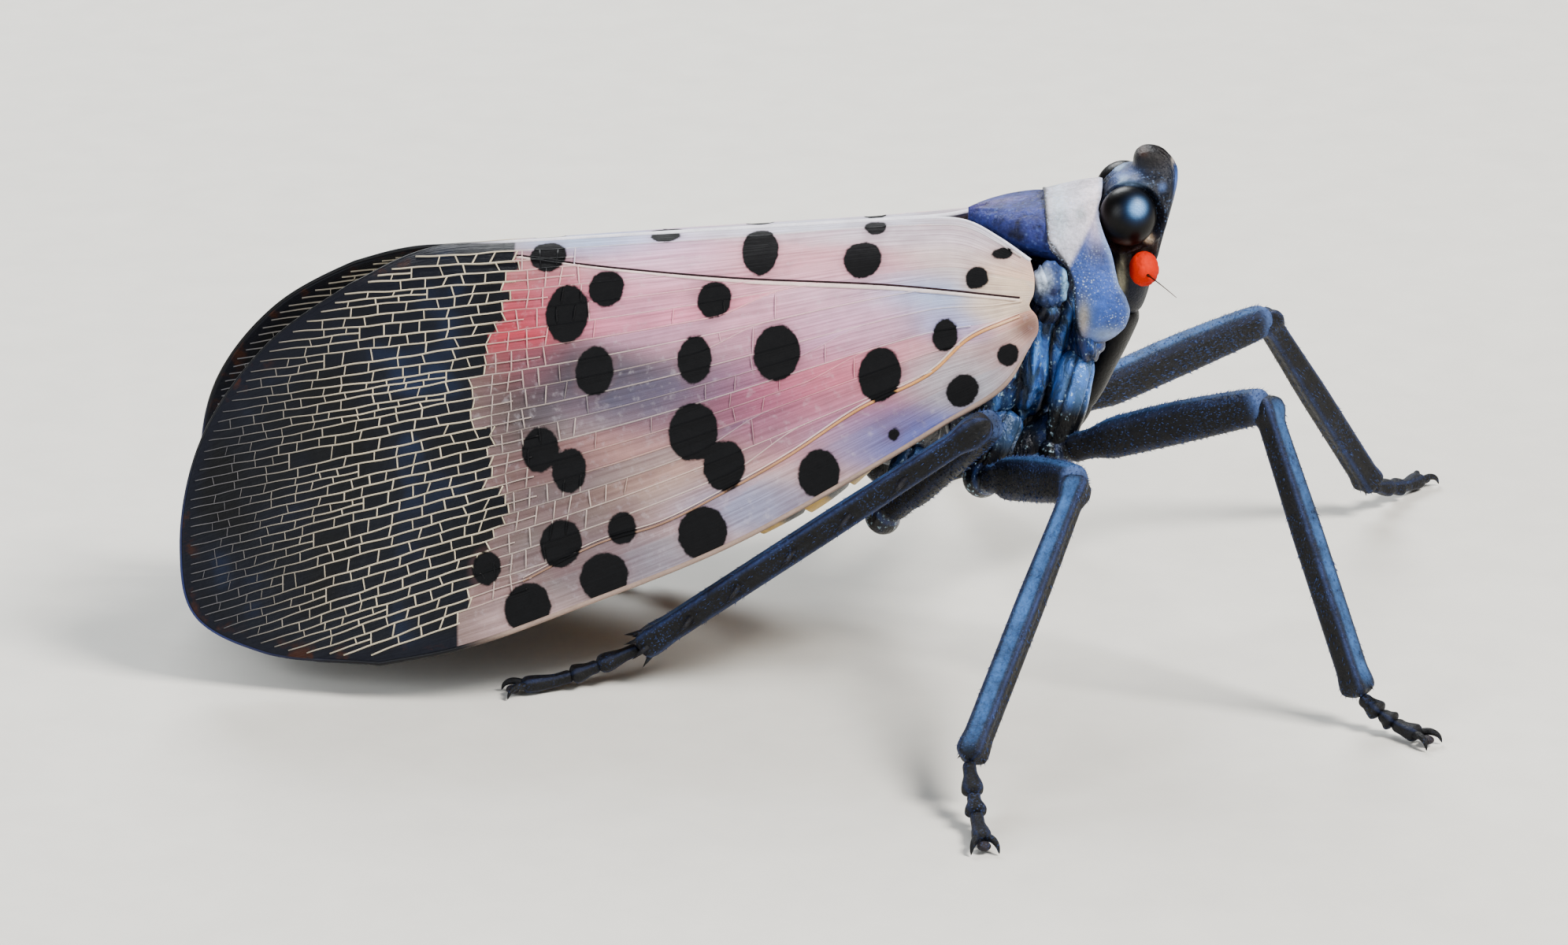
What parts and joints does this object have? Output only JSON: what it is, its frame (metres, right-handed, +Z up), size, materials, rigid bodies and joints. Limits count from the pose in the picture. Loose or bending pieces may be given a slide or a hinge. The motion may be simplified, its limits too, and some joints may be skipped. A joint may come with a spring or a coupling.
{
  "type": "spotted lanternfly",
  "caption": "Life-size standing planthopper with sloping roof-like veined wings, upturned head, bulb feelers, slim angled legs and small flat feet.",
  "frame": {"origin": "on the floor, under the middle of the whole insect's box", "axes": "+X towards the head, +Y towards the insect's left side, +Z up"},
  "size_m": [0.031, 0.0272, 0.0122],
  "materials": {
    "head_cuticle": "satin blue-grey cuticle with dark patches",
    "eye": "glossy brown-black facets",
    "feeler_bulb": "orange-red, finely pitted",
    "beak": "shining black",
    "pronotum_cuticle": "pale grey with a rosy tint and blue-grey lobes",
    "pleura": "iridescent dark blue with creases",
    "abdomen_skin": "yellow with black bands",
    "forewing": "rose-grey membrane with black spots and a netted tip",
    "hindwing": "red with black spots and a black and white tip",
    "leg_cuticle": "velvety blue-black"
  },
  "bodies": {
    "root": {"head": "head_cuticle", "rostrum": "beak", "pronotum": "pronotum_cuticle", "mesothorax": "pleura", "metathorax": "pleura", "abdomen": "abdomen_skin", "eye_right": "eye", "antenna_right": "feeler_bulb", "tegmen_right": "forewing", "hindwing_right": "hindwing", "coxa_fore_right": "leg_cuticle", "femur_fore_right": "leg_cuticle", "tibia_fore_right": "leg_cuticle", "tarsus_fore_right": "leg_cuticle", "coxa_mid_right": "leg_cuticle", "femur_mid_right": "leg_cuticle", "tibia_mid_right": "leg_cuticle", "tarsus_mid_right": "leg_cuticle", "coxa_hind_right": "leg_cuticle", "femur_hind_right": "leg_cuticle", "tibia_hind_right": "leg_cuticle", "tarsus_hind_right": "leg_cuticle", "eye_left": "eye", "antenna_left": "feeler_bulb", "tegmen_left": "forewing", "hindwing_left": "hindwing", "coxa_fore_left": "leg_cuticle", "femur_fore_left": "leg_cuticle", "tibia_fore_left": "leg_cuticle", "tarsus_fore_left": "leg_cuticle", "coxa_mid_left": "leg_cuticle", "femur_mid_left": "leg_cuticle", "tibia_mid_left": "leg_cuticle", "tarsus_mid_left": "leg_cuticle", "coxa_hind_left": "leg_cuticle", "femur_hind_left": "leg_cuticle", "tibia_hind_left": "leg_cuticle", "tarsus_hind_left": "leg_cuticle"}
  },
  "joints": []
}
